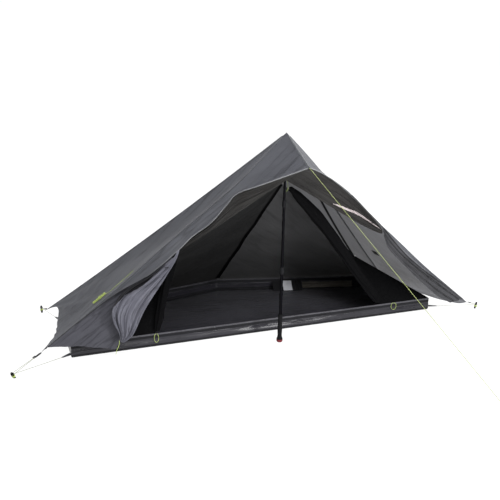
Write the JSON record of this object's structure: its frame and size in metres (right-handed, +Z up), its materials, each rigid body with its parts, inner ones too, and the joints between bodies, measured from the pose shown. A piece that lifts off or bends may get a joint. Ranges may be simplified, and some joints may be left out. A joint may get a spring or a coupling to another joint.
{
  "type": "backpacking tent",
  "caption": "One-pole backpacking tent with a pitched dark grey fly, tied-open doors, black mesh inner, tub floor, lime cords and pegs.",
  "frame": {"origin": "on the ground at the foot of the upright pole", "axes": "+X along the tent to its right end as seen from the door, +Y from the door to the back, +Z up"},
  "size_m": [3.1187, 2.6747, 1.3521],
  "materials": {
    "black_plastic": "moulded",
    "floor_cloth": "coated, faint sheen",
    "fly_cloth": "matt coated woven nylon",
    "inner_fabric": "matt",
    "label_cloth": "blank tape",
    "lime_cord": "braided cord",
    "mesh_cloth": "fine black mesh",
    "peg_metal": "black anodised",
    "pole_metal": "black anodised",
    "webbing": "woven tape"
  },
  "bodies": {
    "tent": {"apex_cap": "black_plastic", "apex_socket": "black_plastic", "care_label": "label_cloth", "corner_buckle_front_left": "black_plastic", "corner_buckle_front_right": "black_plastic", "corner_buckle_rear_left": "black_plastic", "corner_buckle_rear_right": "black_plastic", "corner_cord_front_left": "lime_cord", "corner_cord_front_right": "lime_cord", "corner_cord_rear_left": "lime_cord", "corner_cord_rear_right": "lime_cord", "corner_strap_front_left": "webbing", "corner_strap_front_right": "webbing", "corner_strap_rear_left": "webbing", "corner_strap_rear_right": "webbing", "door_drape_left": "fly_cloth", "door_drape_right": "fly_cloth", "door_loop_left": "lime_cord", "door_loop_right": "lime_cord", "door_lower_left": "fly_cloth", "door_upper_left": "fly_cloth", "door_upper_right": "fly_cloth", "fly_end_left": "fly_cloth", "fly_end_right": "fly_cloth", "fly_hood_left": "fly_cloth", "fly_hood_right": "fly_cloth", "fly_rear_left": "fly_cloth", "fly_rear_right": "fly_cloth", "front_guy": "lime_cord", "groundsheet": "floor_cloth", "inner_end_left": "inner_fabric", "inner_end_right": "inner_fabric", "inner_front_left": "mesh_cloth", "inner_front_right": "mesh_cloth", "inner_peak_cord": "lime_cord", "inner_rear": "inner_fabric", "mesh_door_left": "mesh_cloth", "mesh_door_right": "mesh_cloth", "pole_grip": "black_plastic", "pole_shaft_grip": "pole_metal", "rear_loop": "lime_cord", "side_hank_left": "lime_cord", "side_hank_right": "lime_cord", "tray_cord_front_left": "lime_cord", "tray_cord_front_right": "lime_cord", "tray_cord_rear_left": "lime_cord", "tray_cord_rear_right": "lime_cord", "wall_pocket": "inner_fabric"},
    "pole_middle": {"pole_shaft_middle": "pole_metal"},
    "pole_top": {"pole_shaft_tip": "pole_metal"},
    "lock_lower": {"pole_lock_lower": "black_plastic"},
    "lock_upper": {"pole_lock_upper": "black_plastic"},
    "toggle_left": {"door_toggle_left": "black_plastic"},
    "toggle_right": {"door_toggle_right": "black_plastic"},
    "peg_front_guy": {"peg_front_guy": "peg_metal"},
    "peg_front_left": {"peg_front_left": "peg_metal"},
    "peg_front_right": {"peg_front_right": "peg_metal"},
    "peg_rear_centre": {"peg_rear_centre": "peg_metal"},
    "peg_rear_left": {"peg_rear_left": "peg_metal"},
    "peg_rear_right": {"peg_rear_right": "peg_metal"}
  },
  "joints": [
    {"name": "front_guy_peg_pull", "type": "slide", "parent": "tent", "child": "peg_front_guy", "axis": [0.3837, -0.5791, 0.7193], "range_m": [0, 0.115]},
    {"name": "front_left_peg_pull", "type": "slide", "parent": "tent", "child": "peg_front_left", "axis": [-0.4127, -0.2822, 0.866], "range_m": [0, 0.115]},
    {"name": "front_right_peg_pull", "type": "slide", "parent": "tent", "child": "peg_front_right", "axis": [0.4527, 0.2122, 0.866], "range_m": [0, 0.115]},
    {"name": "rear_centre_peg_pull", "type": "slide", "parent": "tent", "child": "peg_rear_centre", "axis": [0, 0.5, 0.866], "range_m": [0, 0.115]},
    {"name": "rear_left_peg_pull", "type": "slide", "parent": "tent", "child": "peg_rear_left", "axis": [-0.0221, 0.4995, 0.866], "range_m": [0, 0.115]},
    {"name": "rear_right_peg_pull", "type": "slide", "parent": "tent", "child": "peg_rear_right", "axis": [0.0221, 0.4995, 0.866], "range_m": [0, 0.115]},
    {"name": "pole_middle_slide", "type": "slide", "parent": "tent", "child": "pole_middle", "axis": [0, 0, 1], "range_m": [-0.32, 0]},
    {"name": "pole_top_slide", "type": "slide", "parent": "pole_middle", "child": "pole_top", "axis": [0, 0, 1], "range_m": [-0.28, 0]},
    {"name": "lower_lock_twist", "type": "hinge", "parent": "tent", "child": "lock_lower", "pos_m": [0, 0, 0.45], "axis": [0, 0, 1], "range_deg": [0, 90]},
    {"name": "upper_lock_twist", "type": "hinge", "parent": "pole_middle", "child": "lock_upper", "pos_m": [0, 0, 0.85], "axis": [0, 0, 1], "range_deg": [0, 90]},
    {"name": "left_toggle_turn", "type": "hinge", "parent": "tent", "child": "toggle_left", "pos_m": [-0.7252, -0.06638, 0.55093], "axis": [-0.1203, -0.9723, 0.2005], "range_deg": [-35, 35]},
    {"name": "right_toggle_turn", "type": "hinge", "parent": "tent", "child": "toggle_right", "pos_m": [0.57395, -0.04484, 0.70167], "axis": [0.1203, -0.9723, 0.2005], "range_deg": [-35, 35]}
  ]
}
